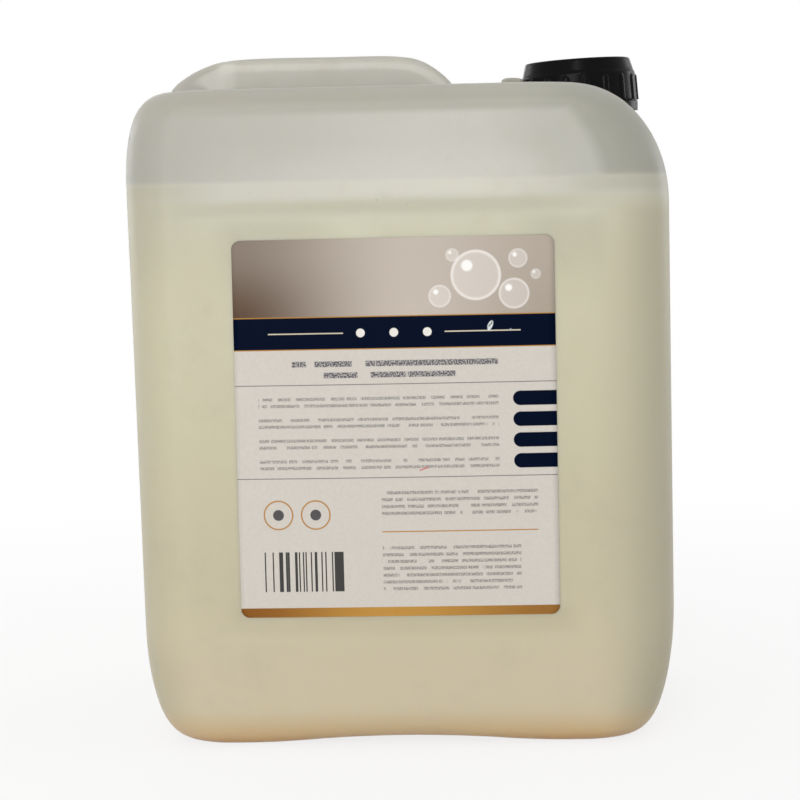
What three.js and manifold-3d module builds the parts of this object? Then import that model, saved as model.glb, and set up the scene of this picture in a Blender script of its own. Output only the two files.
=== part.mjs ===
import * as THREE from "three";
import Module from "manifold-3d";

const wasm = await Module();
wasm.setup();

// All sizes in millimetres. X runs along the can's width, -Y is the label side, Z is up.
const canWidth = 190;
const faceDepth = 142.4;
const shoulderHeight = 230.5;
const wall = 1.4;
const gap = 0.3;

// Rounding of the upright edges in plan, and of the outline seen from the front and from the side.
const edgeRadius = 18.5;
const bottomLeft = { across: 16, up: 40, power: 2 };
const bottomRight = { across: 20, up: 45, power: 2 };
const bottomFace = { across: 12, up: 14, power: 2 };
const topLeft = { across: 17, up: 34, power: 2.6 };
const topRight = { across: 36, up: 42, power: 2 };
const topFace = { across: 9, up: 8.5, power: 2 };

// The left side leans in by this much from the liquid's level down to the base.
const leftLean = 2.6;

// The two label panels: sunk at the border, bulged by the contents in the middle.
const panelBottom = 42;
const panelTop = shoulderHeight - 43.5;
const panelStep = 4.5;
const panelDepth = 1.8;
const panelBulge = 3.2;

// The base is arched between a left and a right foot.
const archHeight = 2.5;
const archHalfSpan = canWidth / 2 - 39;
const archReach = 20;

// The finger well below the handle and the shallower trough that the neck stands in.
const wellLength = 78;
const wellLeft = 25 - canWidth / 2;
const wellRight = wellLeft + wellLength;
const wellFloor = shoulderHeight - 30.5;
const troughLeft = wellRight - 8;
const troughFloor = shoulderHeight - 13.5;
const pocketHalfDepth = faceDepth / 2 - 25.2;
const pocketRadius = 12;

// The handle is a hollow bar along X. Its path runs over the well, from the left end wall to the trough,
// and its heights are measured from the shoulder.
const barDepth = 26;
const barHeight = 20;
const barPath = [
  [wellLeft - 14, -36.5], [wellLeft - 13.3, -18.5], [wellLeft - 7.5, -5], [wellLeft + 3, 1.5],
  [wellLeft + 15, 3.5], [wellRight - 33, 3.5], [wellRight - 9, 3.1], [wellRight - 0.5, 0],
  [wellRight + 5.5, -7], [wellRight + 9, -18.5], [wellRight + 10, -28.5],
];

// The neck stands on a slightly leaning axis through this point.
const neckX = canWidth / 2 - 29;
const neckZ = shoulderHeight - 7.5;
const neckTilt = THREE.MathUtils.degToRad(2.7);
const neckTop = 14;
const neckRadius = 18;
const boreRadius = neckRadius - 2;
const beadRadius = neckRadius + 1.5;
const threadPitch = 4;
const threadRise = 1.6;
const threadTurns = 6.4 / threadPitch;
const roundSegments = 48;

// The cap, its tamper ring and its liner, with heights measured along the neck axis from that point.
const capBottom = 1.9;
const capTop = neckTop + 3.7;
const capBore = neckRadius + threadRise + 0.45;
const capRadius = capBore + 1.35;
const capCrown = capRadius - 2.1;
const capRoof = 1.8;
const ribCount = 18;
const ribWidth = 2;
const ribRise = 0.55;
const ribHeight = 9.2;
const ringHeight = 3.6;
const ringRadius = capRadius + 0.2;
const linerRadius = neckRadius - 0.2;

// The lug beside the neck.
const lugRight = neckX - capRadius - 2.2;
const lugLeft = lugRight - 7.4;
const lugTop = shoulderHeight + 4.3;
const lugHalfDepth = 5;

const liquidLevel = wellFloor - wall - 0.6;

// The printed label on the front panel.
const labelWidth = canWidth - 79;
const labelBottom = panelBottom + 5.8;
const labelTop = panelTop - 8.9;
const labelX = -1;
const labelRadius = 3;
const labelThickness = 0.2;

const matte = (color, roughness) => new THREE.MeshStandardMaterial({ color, roughness, metalness: 0 });
const naturalPlastic = matte(0xcfcab2, 0.45);
const blackPlastic = matte(0x161616, 0.55);
const foam = matte(0xe6e4dc, 0.9);
const paper = matte(0xd8d2cc, 0.5);
const liquid = matte(0xe9e2c8, 0.3);

// Joins rings of equal length into a closed surface. Each ring is mirrored in Y, so its ends close as strips.
function loft(rings) {
  const count = rings[0].length;
  const positions = rings.flat(2);
  const index = [];
  for (let level = 0; level + 1 < rings.length; level++) {
    for (let i = 0; i < count; i++) {
      const a = level * count + i;
      const b = level * count + (i + 1) % count;
      index.push(a, b, b + count, a, b + count, a + count);
    }
  }
  const top = (rings.length - 1) * count;
  for (let i = 0; i + 1 < count / 2; i++) {
    const j = count - 1 - i;
    index.push(i, j, i + 1, i + 1, j, j - 1);
    index.push(top + i, top + i + 1, top + j, top + i + 1, top + j - 1, top + j);
  }
  return indexed(positions, index);
}

function indexed(positions, index) {
  const geometry = new THREE.BufferGeometry();
  geometry.setAttribute("position", new THREE.Float32BufferAttribute(positions, 3));
  geometry.setIndex(index);
  return geometry;
}

// Welds a geometry's vertices by place and drops flat triangles, so that it reads as one closed solid.
function solid(geometry) {
  const source = geometry.attributes.position;
  const order = geometry.index ? Array.from(geometry.index.array) : [...Array(source.count).keys()];
  const seen = new Map();
  const vertices = [];
  const place = order.map((i) => {
    const p = [source.getX(i), source.getY(i), source.getZ(i)];
    const key = p.map((v) => Math.round(v * 1e4)).join();
    if (!seen.has(key)) {
      seen.set(key, seen.size);
      vertices.push(...p);
    }
    return seen.get(key);
  });
  const triangles = [];
  for (let i = 0; i < place.length; i += 3) {
    const [a, b, c] = place.slice(i, i + 3);
    if (a !== b && b !== c && c !== a) triangles.push(a, b, c);
  }
  return new wasm.Manifold(new wasm.Mesh({
    numProp: 3,
    vertProperties: new Float32Array(vertices),
    triVerts: new Uint32Array(triangles),
  }));
}

function meshOf(name, shape, material) {
  const data = shape.getMesh();
  const geometry = indexed(Array.from(data.vertProperties), Array.from(data.triVerts));
  geometry.computeVertexNormals();
  const mesh = new THREE.Mesh(geometry, material);
  mesh.name = name;
  return mesh;
}

// How far a rounded edge has drawn in at a distance below its end.
function drawnIn(edge, below, less) {
  const across = edge.across - less;
  const up = edge.up - less;
  const t = Math.min(Math.max(1 - below / up, 0), 1);
  return across * (1 - (1 - t ** edge.power) ** (1 / edge.power));
}

// Outward swell of a label panel: sunk all over, and bulged in the middle.
function panelSwell(x, z) {
  const half = canWidth / 2 - edgeRadius - panelStep;
  const u = x / half;
  const middle = (panelBottom + panelTop) / 2;
  const v = (z - middle) / ((panelTop - panelBottom) / 2);
  if (Math.abs(u) > 1.001 || Math.abs(v) > 1.001) return 0;
  return panelBulge * (1 - u * u) * (1 - v * v) - panelDepth;
}

// Half of a level section, from the left side along the face to the right side,
// as X and distance from mid-depth.
function halfSection(z, inset) {
  const top = shoulderHeight - inset - z;
  const bottom = z - inset;
  const left = inset - canWidth / 2 + leftLean * Math.max(0, 1 - z / liquidLevel)
    + Math.max(drawnIn(topLeft, top, inset), drawnIn(bottomLeft, bottom, inset));
  const right = canWidth / 2 - inset
    - Math.max(drawnIn(topRight, top, inset), drawnIn(bottomRight, bottom, inset));
  const depth = faceDepth / 2 - inset
    - Math.max(drawnIn(topFace, top, inset), drawnIn(bottomFace, bottom, inset));
  const radius = edgeRadius - inset;
  const points = [];
  const segments = 5;
  for (let i = 0; i <= segments; i++) {
    const angle = (i / segments) * Math.PI / 2;
    points.push([left + radius * (1 - Math.cos(angle)), depth - radius * (1 - Math.sin(angle))]);
  }
  const straight = [left + radius, right - radius];
  const middle = (straight[0] + straight[1]) / 2;
  const half = (straight[1] - straight[0]) / 2;
  const inner = 1 - panelStep / (canWidth / 2 - edgeRadius);
  for (const f of [-inner, -0.64, -0.32, 0, 0.32, 0.64, inner]) {
    const x = middle + half * f;
    points.push([x, depth + panelSwell(x, z)]);
  }
  for (let i = segments; i >= 0; i--) {
    const angle = (i / segments) * Math.PI / 2;
    points.push([right - radius * (1 - Math.cos(angle)), depth - radius * (1 - Math.sin(angle))]);
  }
  return points;
}

// The can's body drawn in by an inset, up to a given height.
function bodyShape(inset, upTo) {
  const levels = [];
  const rise = bottomRight.up - inset;
  for (let i = 0; i <= 6; i++) levels.push(inset + rise * (1 - Math.cos((i / 6) * Math.PI / 2)));
  levels.push(panelBottom - panelStep, panelBottom);
  for (const f of [0.12, 0.3, 0.5, 0.7, 0.88]) levels.push(panelBottom + f * (panelTop - panelBottom));
  levels.push(panelTop, panelTop + panelStep, liquidLevel);
  const fall = topRight.up - inset;
  for (let i = 1; i <= 8; i++) {
    levels.push(shoulderHeight - inset - fall * (1 - Math.sin((1 + i) / 9 * Math.PI / 2)));
  }
  const kept = levels.sort((a, b) => a - b).filter((z) => z < upTo - 0.5);
  kept.push(Math.min(upTo, shoulderHeight - inset));
  const rings = kept.map((z) => {
    const half = halfSection(z, inset).map(([x, depth]) => {
      const t = x / archHalfSpan;
      const arch = Math.abs(t) < 1 ? archHeight * (1 - t * t) ** 2 : 0;
      return [x, -depth, z + arch * Math.max(0, 1 - (z - inset) / archReach)];
    });
    return half.concat(half.map(([x, y, h]) => [x, -y, h]).reverse());
  });
  return solid(loft(rings));
}

// A pocket cut into the top, with rounded corners and a rounded floor, made larger by an amount.
function pocket(left, right, floor, grow) {
  const steps = [[0, 7], [2, 2.6], [6, 0], [60, -4]];
  const rings = steps.map(([up, inset]) => {
    const z = floor - grow + up;
    const x0 = left - grow + inset;
    const x1 = right + grow - inset;
    const depth = pocketHalfDepth + grow - inset;
    const radius = pocketRadius;
    const half = [];
    for (let i = 0; i <= 4; i++) {
      const angle = (i / 4) * Math.PI / 2;
      half.push([x0 + radius * (1 - Math.cos(angle)), radius * (1 - Math.sin(angle)) - depth, z]);
    }
    for (let i = 4; i >= 0; i--) {
      const angle = (i / 4) * Math.PI / 2;
      half.push([x1 - radius * (1 - Math.cos(angle)), radius * (1 - Math.sin(angle)) - depth, z]);
    }
    return half.concat(half.map(([x, y, h]) => [x, -y, h]).reverse());
  });
  return solid(loft(rings));
}

// The handle bar, a rounded section carried along its path and thinned by an inset.
function handleBar(inset) {
  const places = barPath.map(([x, z]) => new THREE.Vector3(x, 0, shoulderHeight + z));
  const curve = new THREE.CatmullRomCurve3(places);
  const steps = 26;
  const rings = [];
  for (let i = 0; i <= steps; i++) {
    const p = curve.getPointAt(i / steps);
    const along = curve.getTangentAt(i / steps);
    const half = [];
    for (let k = 0; k < 8; k++) {
      const angle = ((k + 0.5) / 8) * Math.PI;
      const c = Math.cos(angle);
      const s = Math.sin(angle);
      const out = (barHeight / 2 - inset) * Math.sign(c) * Math.abs(c) ** 0.7;
      const side = (barDepth / 2 - inset) * s ** 0.7;
      half.push([p.x - along.z * out, -side, p.z + along.x * out]);
    }
    rings.push(half.concat(half.map(([x, y, z]) => [x, -y, z]).reverse()));
  }
  return solid(loft(rings));
}

// A solid of revolution about the neck axis from radius and height pairs, listed from bottom to top.
function turned(profile) {
  const points = profile.map(([r, h]) => new THREE.Vector2(r, h));
  const geometry = new THREE.LatheGeometry(points, roundSegments);
  geometry.rotateX(Math.PI / 2);
  return solid(geometry);
}

// One thread: a trapezoid carried along a right-hand helix, fading out at both ends.
function thread(rootRadius, crestRadius, rootWidth, crestWidth, start) {
  const perTurn = 24;
  const steps = Math.round(threadTurns * perTurn);
  const sections = [];
  for (let i = 0; i <= steps; i++) {
    const angle = (i / perTurn) * Math.PI * 2;
    const height = start + (i / perTurn) * threadPitch;
    const fade = Math.min(1, Math.min(i, steps - i) / 4 + 0.1);
    const crest = rootRadius + (crestRadius - rootRadius) * fade;
    const corner = (radius, up) => [radius * Math.cos(angle), radius * Math.sin(angle), height + up];
    sections.push([
      corner(rootRadius, -rootWidth / 2), corner(crest, -crestWidth / 2),
      corner(crest, crestWidth / 2), corner(rootRadius, rootWidth / 2),
    ]);
  }
  const index = [];
  for (let s = 0; s < steps; s++) {
    for (let k = 0; k < 4; k++) {
      const a = s * 4 + k;
      const b = s * 4 + (k + 1) % 4;
      index.push(a, a + 4, b, b, a + 4, b + 4);
    }
  }
  const last = steps * 4;
  index.push(0, 1, 2, 0, 2, 3, last, last + 2, last + 1, last, last + 3, last + 2);
  if (crestRadius < rootRadius) {
    for (let i = 0; i < index.length; i += 3) [index[i], index[i + 1]] = [index[i + 1], index[i]];
  }
  return solid(indexed(sections.flat(2), index));
}

// Puts a shape made about the neck axis in its place on the can.
function onNeck(shape) {
  const matrix = new THREE.Matrix4().makeRotationY(-neckTilt);
  matrix.setPosition(neckX, 0, neckZ);
  return shape.transform(matrix.elements);
}

function neckShape() {
  const tube = turned([
    [0, -12], [neckRadius + 3.5, -12], [neckRadius + 3.5, -5], [neckRadius + 2.2, -3.2],
    [neckRadius, -2.4], [neckRadius, capBottom + 0.4], [beadRadius, capBottom + 0.6],
    [neckRadius, capBottom + 1.9], [neckRadius, neckTop - 0.6], [neckRadius - 0.6, neckTop], [0, neckTop],
  ]);
  const ridge = thread(neckRadius - 0.5, neckRadius + threadRise, 2, 1, capBottom + 3.4);
  return onNeck(tube.add(ridge));
}

function lug() {
  const outline = new THREE.Shape();
  outline.moveTo(lugLeft - 3, troughFloor - 2);
  outline.lineTo(lugRight, troughFloor - 2);
  outline.lineTo(lugRight, lugTop - 1);
  outline.lineTo(lugRight - 1, lugTop);
  outline.lineTo(lugLeft + 2, lugTop);
  outline.lineTo(lugLeft, lugTop - 2);
  outline.closePath();
  const geometry = new THREE.ExtrudeGeometry(outline, { depth: 2 * lugHalfDepth, bevelEnabled: false });
  geometry.rotateX(Math.PI / 2);
  geometry.translate(0, lugHalfDepth, 0);
  return solid(geometry);
}

function can() {
  const outer = bodyShape(0, shoulderHeight)
    .subtract(pocket(wellLeft, wellRight, wellFloor, 0))
    .subtract(pocket(troughLeft, canWidth, troughFloor, 0))
    .add(handleBar(0))
    .add(lug())
    .add(neckShape());
  const bore = onNeck(turned([[0, -16], [boreRadius, -16], [boreRadius, neckTop + 2], [0, neckTop + 2]]));
  const inner = bodyShape(wall, shoulderHeight)
    .subtract(pocket(wellLeft, wellRight, wellFloor, wall))
    .subtract(pocket(troughLeft, canWidth, troughFloor, wall))
    .add(handleBar(wall))
    .add(bore);
  return meshOf("can", outer.subtract(inner), naturalPlastic);
}

function soap() {
  return meshOf("soap", bodyShape(wall + gap, liquidLevel), liquid);
}

// A thin sheet that follows the front panel, with rounded corners.
function label() {
  const rows = [];
  const rise = labelTop - labelBottom;
  const heights = [0, 0.6, 1.6, labelRadius];
  for (let i = 1; i < 8; i++) heights.push((i / 8) * rise);
  heights.push(rise - labelRadius, rise - 1.6, rise - 0.6, rise);
  const columns = 8;
  for (const height of heights) {
    const end = Math.min(height, rise - height, labelRadius);
    const half = labelWidth / 2 - labelRadius + Math.sqrt(labelRadius ** 2 - (labelRadius - end) ** 2);
    const row = [];
    for (let c = 0; c <= columns; c++) {
      const x = labelX + half * (2 * c / columns - 1);
      const z = labelBottom + height;
      const back = faceDepth / 2 + panelSwell(x, z) + gap;
      row.push([x, -back, z, -back - labelThickness]);
    }
    rows.push(row);
  }
  const width = columns + 1;
  const count = rows.length * width;
  const flat = rows.flat();
  const positions = flat.map(([x, y, z]) => [x, y, z]).concat(flat.map(([x, , z, y]) => [x, y, z])).flat();
  const index = [];
  for (let r = 0; r + 1 < rows.length; r++) {
    for (let c = 0; c < columns; c++) {
      const a = r * width + c;
      const b = a + width;
      index.push(a, b, b + 1, a, b + 1, a + 1);
      index.push(count + a, count + b + 1, count + b, count + a, count + a + 1, count + b + 1);
    }
  }
  const edge = [];
  for (let c = 0; c < columns; c++) edge.push(c);
  for (let r = 0; r + 1 < rows.length; r++) edge.push(r * width + columns);
  for (let c = columns; c > 0; c--) edge.push((rows.length - 1) * width + c);
  for (let r = rows.length - 1; r > 0; r--) edge.push(r * width);
  edge.forEach((a, i) => {
    const b = edge[(i + 1) % edge.length];
    index.push(a, b, count + b, a, count + b, count + a);
  });
  return meshOf("label", solid(indexed(positions, index)), paper);
}

// One grip rib with a rounded top, standing on the cap's skirt at an angle about the axis.
function capRib(angle) {
  const outline = new THREE.Shape();
  const half = ribWidth / 2;
  outline.moveTo(-half, 0);
  outline.lineTo(half, 0);
  outline.lineTo(half, ribHeight - half);
  outline.absarc(0, ribHeight - half, half, 0, Math.PI, false);
  outline.closePath();
  const geometry = new THREE.ExtrudeGeometry(outline, { depth: 1.4, bevelEnabled: false, curveSegments: 4 });
  geometry.rotateX(Math.PI / 2);
  geometry.translate(0, capRadius - 0.1 + ribRise, capBottom + 0.3);
  geometry.rotateZ(angle);
  return solid(geometry);
}

function screwCap() {
  const bevel = 0.9;
  const skirtTop = capTop - 5.4;
  let shape = turned([
    [0, capBottom], [capRadius, capBottom], [capRadius - 0.3, skirtTop], [capRadius - 0.7, skirtTop + 0.5],
    [capCrown + bevel * 0.4, capTop - bevel], [capCrown, capTop - bevel * 0.3],
    [capCrown - bevel * 0.5, capTop], [0, capTop],
  ]);
  for (let i = 0; i < ribCount; i++) shape = shape.add(capRib((i / ribCount) * Math.PI * 2));
  const roof = capTop - capRoof;
  const hollow = turned([
    [0, capBottom - 2], [capBore, capBottom - 2], [capBore, skirtTop], [capBore - 1.6, neckTop + 0.2],
    [linerRadius + 0.5, roof], [0, roof],
  ]);
  const ridge = thread(capBore + 0.5, neckRadius + 0.5, 1.6, 0.8, capBottom + 3.4 + threadPitch / 2);
  return meshOf("screw_cap", onNeck(shape.subtract(hollow).add(ridge)), blackPlastic);
}

function tamperRing() {
  const top = capBottom - gap;
  const inside = neckRadius + 0.5;
  const shape = turned([
    [0, top - ringHeight], [ringRadius, top - ringHeight], [ringRadius, top - 0.5],
    [ringRadius - 0.5, top], [0, top],
  ]);
  const hole = turned([
    [0, top - ringHeight - 2], [inside + 1, top - ringHeight - 2], [inside + 1, top - ringHeight],
    [inside, top - 0.8], [inside, top + 2], [0, top + 2],
  ]);
  return meshOf("tamper_ring", onNeck(shape.subtract(hole)), blackPlastic);
}

function capLiner() {
  const bottom = neckTop + gap;
  const top = capTop - capRoof - gap;
  const disc = turned([[0, bottom], [linerRadius, bottom], [linerRadius, top], [0, top]]);
  return meshOf("cap_liner", onNeck(disc), foam);
}

const pack = new THREE.Group();
pack.name = "soap_refill_can";
pack.add(can(), soap(), label(), screwCap(), tamperRing(), capLiner());

export default pack;
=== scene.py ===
# Five litre can of liquid hand soap: translucent can with its handle, black screw cap, printed label.
import math
import bpy
import numpy as np
from mathutils import Matrix


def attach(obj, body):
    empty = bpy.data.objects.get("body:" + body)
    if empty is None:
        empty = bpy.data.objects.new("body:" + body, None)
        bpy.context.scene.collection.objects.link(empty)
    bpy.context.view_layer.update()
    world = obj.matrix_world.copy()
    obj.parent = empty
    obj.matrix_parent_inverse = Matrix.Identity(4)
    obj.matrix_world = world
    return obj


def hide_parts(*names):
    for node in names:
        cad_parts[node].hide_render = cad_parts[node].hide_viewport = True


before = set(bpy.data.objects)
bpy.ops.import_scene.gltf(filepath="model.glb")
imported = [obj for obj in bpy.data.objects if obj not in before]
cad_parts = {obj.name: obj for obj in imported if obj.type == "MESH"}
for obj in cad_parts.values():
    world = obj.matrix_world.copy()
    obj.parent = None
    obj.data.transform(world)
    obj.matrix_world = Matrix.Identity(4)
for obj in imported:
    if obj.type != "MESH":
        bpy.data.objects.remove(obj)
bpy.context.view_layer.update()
mm = 0.001
fullTurn = 2 * math.pi
print("frame loaded", sorted(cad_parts))


# shader helpers
class Sock:
    # wraps one output socket, so that sums on values become Math nodes
    def __init__(self, tree, socket=None):
        self.tree, self.socket = tree, socket

    def node(self, kind, settings=None, inputs=None, out=0):
        made = self.tree.nodes.new(kind)
        for key, value in (settings or {}).items():
            setattr(made, key, value)
        for key, value in (inputs or {}).items():
            if isinstance(value, Sock):
                self.tree.links.new(value.socket, made.inputs[key])
            else:
                made.inputs[key].default_value = value
        return Sock(self.tree, made.outputs[out])

    def math(self, operation, *others):
        return self.node("ShaderNodeMath", {"operation": operation}, dict(enumerate((self,) + others)))

    def turned(self, operation, other):  # the same with the other value first
        return self.node("ShaderNodeMath", {"operation": operation}, {0: other, 1: self})

    def __add__(self, other): return self.math("ADD", other)
    def __radd__(self, other): return self.turned("ADD", other)
    def __sub__(self, other): return self.math("SUBTRACT", other)
    def __rsub__(self, other): return self.turned("SUBTRACT", other)
    def __mul__(self, other): return self.math("MULTIPLY", other)
    def __rmul__(self, other): return self.turned("MULTIPLY", other)
    def __truediv__(self, other): return self.math("DIVIDE", other)
    def __rtruediv__(self, other): return self.turned("DIVIDE", other)
    def __abs__(self): return self.math("ABSOLUTE")

    def ease(self, start, end):  # smooth 0 to 1 as the value goes from start to end
        return self.node("ShaderNodeMapRange", {"interpolation_type": "SMOOTHSTEP"},
                         {"Value": self, "From Min": start, "From Max": end, "To Min": 0.0, "To Max": 1.0})

    def tint(self, under, over):  # colour under where the mask is 0, over where it is 1
        return self.node("ShaderNodeMix", {"data_type": "RGBA"}, {0: self, 6: under, 7: over}, out=2)


def laid(under, *layers):  # colours laid over one another, each through its mask
    for mask, colour in layers:
        under = mask.tint(under, colour)
    return under


def ink(r, g, b):  # screen colour 0 to 255 as a linear colour
    c = np.array([r, g, b]) / 255.0
    c = np.where(c <= 0.04045, c / 12.92, ((c + 0.055) / 1.055) ** 2.4)
    return (float(c[0]), float(c[1]), float(c[2]), 1.0)


def newMaterial(name):
    material = bpy.data.materials.new(name)
    material.use_nodes = True
    shader = material.node_tree.nodes["Principled BSDF"]
    return material, shader, Sock(material.node_tree)


def setEven(shader, values):  # what is the same all over goes straight on the shader's own sockets
    for name, value in values.items():
        shader.inputs[name].default_value = value


def plug(sock, shader, socketName):
    sock.tree.links.new(sock.socket, shader.inputs[socketName])


def place(start):  # object coordinates in millimetres: the vector, then x, y, z
    where = start.node("ShaderNodeTexCoord", out=3)
    scaled = start.node("ShaderNodeVectorMath", {"operation": "SCALE"}, {0: where, "Scale": 1 / mm})
    parts = start.node("ShaderNodeSeparateXYZ", None, {0: scaled}).socket.node.outputs
    return [scaled] + [Sock(start.tree, part) for part in parts]


def grain(start, where, scale, detail=2.0, rough=0.5):  # noise of about 1/scale mm
    return start.node("ShaderNodeTexNoise", {"noise_dimensions": "3D"},
                      {"Vector": where, "Scale": scale, "Detail": detail, "Roughness": rough})


def bubbles(start, where, scale):  # distance to the nearest of many scattered points
    return start.node("ShaderNodeTexVoronoi", {"feature": "F1"}, {"Vector": where, "Scale": scale})


def bumped(start, height, strength, distance, under=None):
    inputs = {"Strength": strength, "Distance": distance, "Height": height}
    if under is not None:
        inputs["Normal"] = under
    return start.node("ShaderNodeBump", None, inputs)


# mesh helpers
def smooth(t):  # 0 to 1 with level ends
    return t * t * (3 - 2 * t)


def meshPiece(name, points, faces, material, body):
    mesh = bpy.data.meshes.new(name)
    mesh.from_pydata((points * mm).tolist(), [], list(faces))
    mesh.polygons.foreach_set("use_smooth", np.ones(len(mesh.polygons), dtype=bool))
    mesh.materials.append(material)
    mesh.update()
    piece = bpy.data.objects.new(name, mesh)
    bpy.context.collection.objects.link(piece)
    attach(piece, body)
    return piece


# A section of (radius, height, corner radius), each corner replaced by a curve and then cut to even short steps.
def softSection(corners, step, closed):
    c = np.array(corners, float)
    n = len(c)
    before = c[np.arange(-1, n - 1), :2] - c[:, :2]
    after = c[(np.arange(n) + 1) % n, :2] - c[:, :2]
    lengthBefore = np.linalg.norm(before, axis=1)
    lengthAfter = np.linalg.norm(after, axis=1)
    reach = np.minimum(c[:, 2], 0.49 * np.minimum(lengthBefore, lengthAfter))  # never past half a side
    if not closed:
        reach[[0, -1]] = 0
    a = c[:, :2] + before / np.maximum(lengthBefore, 1e-9)[:, None] * reach[:, None]
    b = c[:, :2] + after / np.maximum(lengthAfter, 1e-9)[:, None] * reach[:, None]
    t = np.linspace(0, 1, 7)[None, :, None]
    curve = (1 - t) ** 2 * a[:, None] + 2 * t * (1 - t) * c[:, None, :2] + t ** 2 * b[:, None]
    curve = curve.reshape(-1, 2)
    if closed:
        curve = np.vstack([curve, curve[:1]])
    run = np.concatenate([[0], np.cumsum(np.linalg.norm(np.diff(curve, axis=0), axis=1))])
    keep = np.concatenate([[True], np.diff(run) > 1e-6])
    curve, run = curve[keep], run[keep]
    count = max(int(round(run[-1] / step)), 8)
    s = np.linspace(0, run[-1], count + 1)
    out = np.stack([np.interp(s, run, curve[:, 0]), np.interp(s, run, curve[:, 1])], axis=1)
    return out[:-1] if closed else out


# heights and radii about the leaning neck, in millimetres from its foot
neck = {
    "foot": np.array([66.0, 0.0, 223.0]), "tilt": math.radians(2.7), "radius": 18.0, "segments": 144, "step": 0.35,
    "section": [(16, -7, 0.3), (18, -7, 0.3), (18, 2.2, 0.3), (19.5, 2.5, 0.3), (18, 3.8, 0.4),
                (18, 14, 0.6), (16, 14, 0.6)],
    "pitch": 4.0, "turns": 1.6, "endFade": 6.0,
    "thread": {"start": 5.3, "half": 1.0, "slope": 0.5, "rise": 1.6},
}
neckUp = np.array([-math.sin(neck["tilt"]), 0.0, math.cos(neck["tilt"])])
neckSide = np.array([math.cos(neck["tilt"]), 0.0, math.sin(neck["tilt"])])


def onNeck(radius, angle, height):  # radius, angle and height about the leaning neck axis, as points
    x = radius * np.cos(angle)
    y = radius * np.sin(angle)
    flat = x[..., None] * neckSide + y[..., None] * np.array([0.0, 1.0, 0.0])
    return neck["foot"] + flat + height[..., None] * neckUp


# A section carried round the neck axis; shape(angle, radius, height) moves each point out and up.
def turnedSurface(section, segments, shape=None, closed=True):
    angle = np.linspace(0, fullTurn, segments, endpoint=False)[:, None]
    radius = np.broadcast_to(section[:, 0], (segments, len(section))).copy()
    height = np.broadcast_to(section[:, 1], (segments, len(section))).copy()
    angle = np.broadcast_to(angle, radius.shape)
    if shape is not None:
        radius, height = shape(angle, radius, height)
    points = onNeck(radius, angle, height)
    ends = points[0, [0, -1]]
    if not closed:  # the first and last rows lie on the axis and become one point each
        points = points[:, 1:-1]
    rows = points.shape[1]
    i, j = np.meshgrid(np.arange(segments), np.arange(rows if closed else rows - 1), indexing="ij")
    nextI, nextJ = (i + 1) % segments, (j + 1) % rows
    faces = np.stack([i * rows + j, nextI * rows + j, nextI * rows + nextJ, i * rows + nextJ], axis=-1)
    faces = faces.reshape(-1, 4).tolist()
    points = points.reshape(-1, 3)
    if not closed:
        first, last = len(points), len(points) + 1
        i = np.arange(segments)
        nextI = (i + 1) % segments
        faces += np.stack([np.full(segments, first), nextI * rows, i * rows], axis=-1).tolist()
        faces += np.stack([np.full(segments, last), (i + 1) * rows - 1, (nextI + 1) * rows - 1], axis=-1).tolist()
        points = np.vstack([points, ends])
    return points, faces


# A helix round the neck: 1 on it, 0 off it, fading at its two ends.
def threadCrest(angle, height, thread):
    turn = (height - thread["start"]) / neck["pitch"] - angle / fullTurn
    off = np.abs(turn - np.round(turn)) * neck["pitch"]
    run = np.round(turn) + angle / fullTurn
    ends = np.clip(np.minimum(run, neck["turns"] - run) * neck["endFade"], 0, 1)
    return np.clip((thread["half"] - off) / thread["slope"], 0, 1) * ends


# the can: one moulded skin as the zero surface of a distance field, in millimetres
can = {
    "width": 190.0, "face": 142.4, "shoulder": 230.5, "edge": 18.5, "lean": 2.6, "liquid": 198.0,
    # rounded ends of the sides and faces: how far in, over what height, power of the curve
    "bottomLeft": (14.6, 40.5, 2.0), "bottomRight": (16.0, 48.0, 2.0), "bottomFace": (12.0, 14.0, 2.0),
    "topLeft": (17.0, 34.0, 2.6), "topRight": (34.2, 41.5, 2.0), "topFace": (9.0, 8.5, 2.0),
    "panelHalf": 76.5, "panelLow": 37.5, "panelHigh": 191.5, "panelDepth": 1.1, "panelBulge": 2.6,
    "sideRun": 24.0, "topRun": 4.5, "footRun": 10.0,
    "archHigh": 2.5, "archHalf": 56.0, "archReach": 20.0,
    # boxes: lowest corner, highest corner, edge radius
    "well": ((-70, -46, 200), (8, 46, 330), 11), "trough": ((0, -46, 217), (210, 46, 330), 8), "fillet": 7.0,
    "lug": ((36.8, -12, 205), (49, 12, 234.8), 1.6), "lugClear": 22.7, "lugCut": 1.0, "rootFillet": 4.0,
    "collar": 20.3, "collarMiddle": -16.0, "collarHalf": 11.8, "collarRound": 1.2, "bore": 16.2, "boreFloor": -24.5,
    # the skin's grid and the easing after it: part of the way, times
    "gridLow": (-98, -76, -4), "gridHigh": (98, 76, 248), "step": 1.7, "easing": (0.4, 3), "rootEasing": (0.45, 16),
}
handle = {
    "path": [(-79, 194), (-81.5, 212), (-78.8, 225.3), (-68.8, 232.3), (-55, 234), (-25, 234),
             (-1, 233.6), (7.5, 230.5), (13.5, 223.5), (17, 212), (18, 202)],
    "perSpan": 12, "deep": 13.0, "high": 10.0, "round": 4.2, "postThin": 4.5, "thinFrom": -55.0, "thinRun": 18.0,
    "above": 185.0, "leftOf": 45.0, "within": 48.0, "far": 30.0,  # beyond this zone the field is just far off
    "postRoot": (-69.0, 11.0, 226.0), "rootReach": 9.0,
}


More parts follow.
